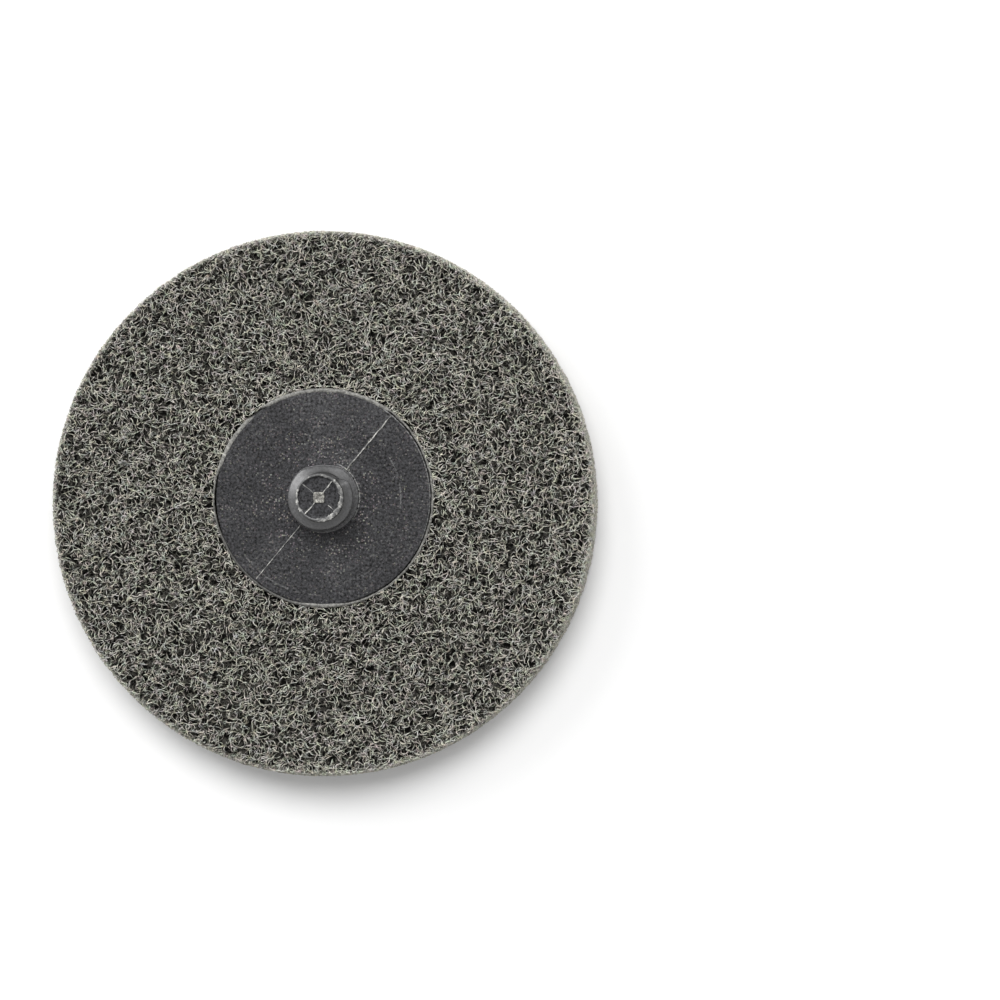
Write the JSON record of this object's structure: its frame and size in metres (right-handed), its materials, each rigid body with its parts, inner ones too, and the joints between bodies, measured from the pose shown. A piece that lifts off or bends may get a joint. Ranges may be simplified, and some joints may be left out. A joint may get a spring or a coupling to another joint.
{
  "type": "surface conditioning disc",
  "caption": "Round pad of grey nonwoven abrasive web for blending and cleaning metal, with a moulded flange and a coarse threaded quick-change stud bonded into its back.",
  "frame": {"origin": "middle of the working face, on the surface that the disc lies on", "axes": "+Z out of the back of the pad along the hub's stud; +X to the right and +Y up as the back is seen in the picture"},
  "size_m": [0.0762, 0.0761, 0.0131],
  "materials": {
    "coated_nylon_web": "open web of curly nylon fibres with a matt grey abrasive coat",
    "cured_adhesive": "smooth, slightly glossy cured adhesive",
    "black_nylon": "satin moulded nylon, speckled and dusty"
  },
  "bodies": {
    "root": {"abrasive_pad": "coated_nylon_web", "glue_bond": "cured_adhesive", "hub_button": "black_nylon"}
  },
  "joints": []
}
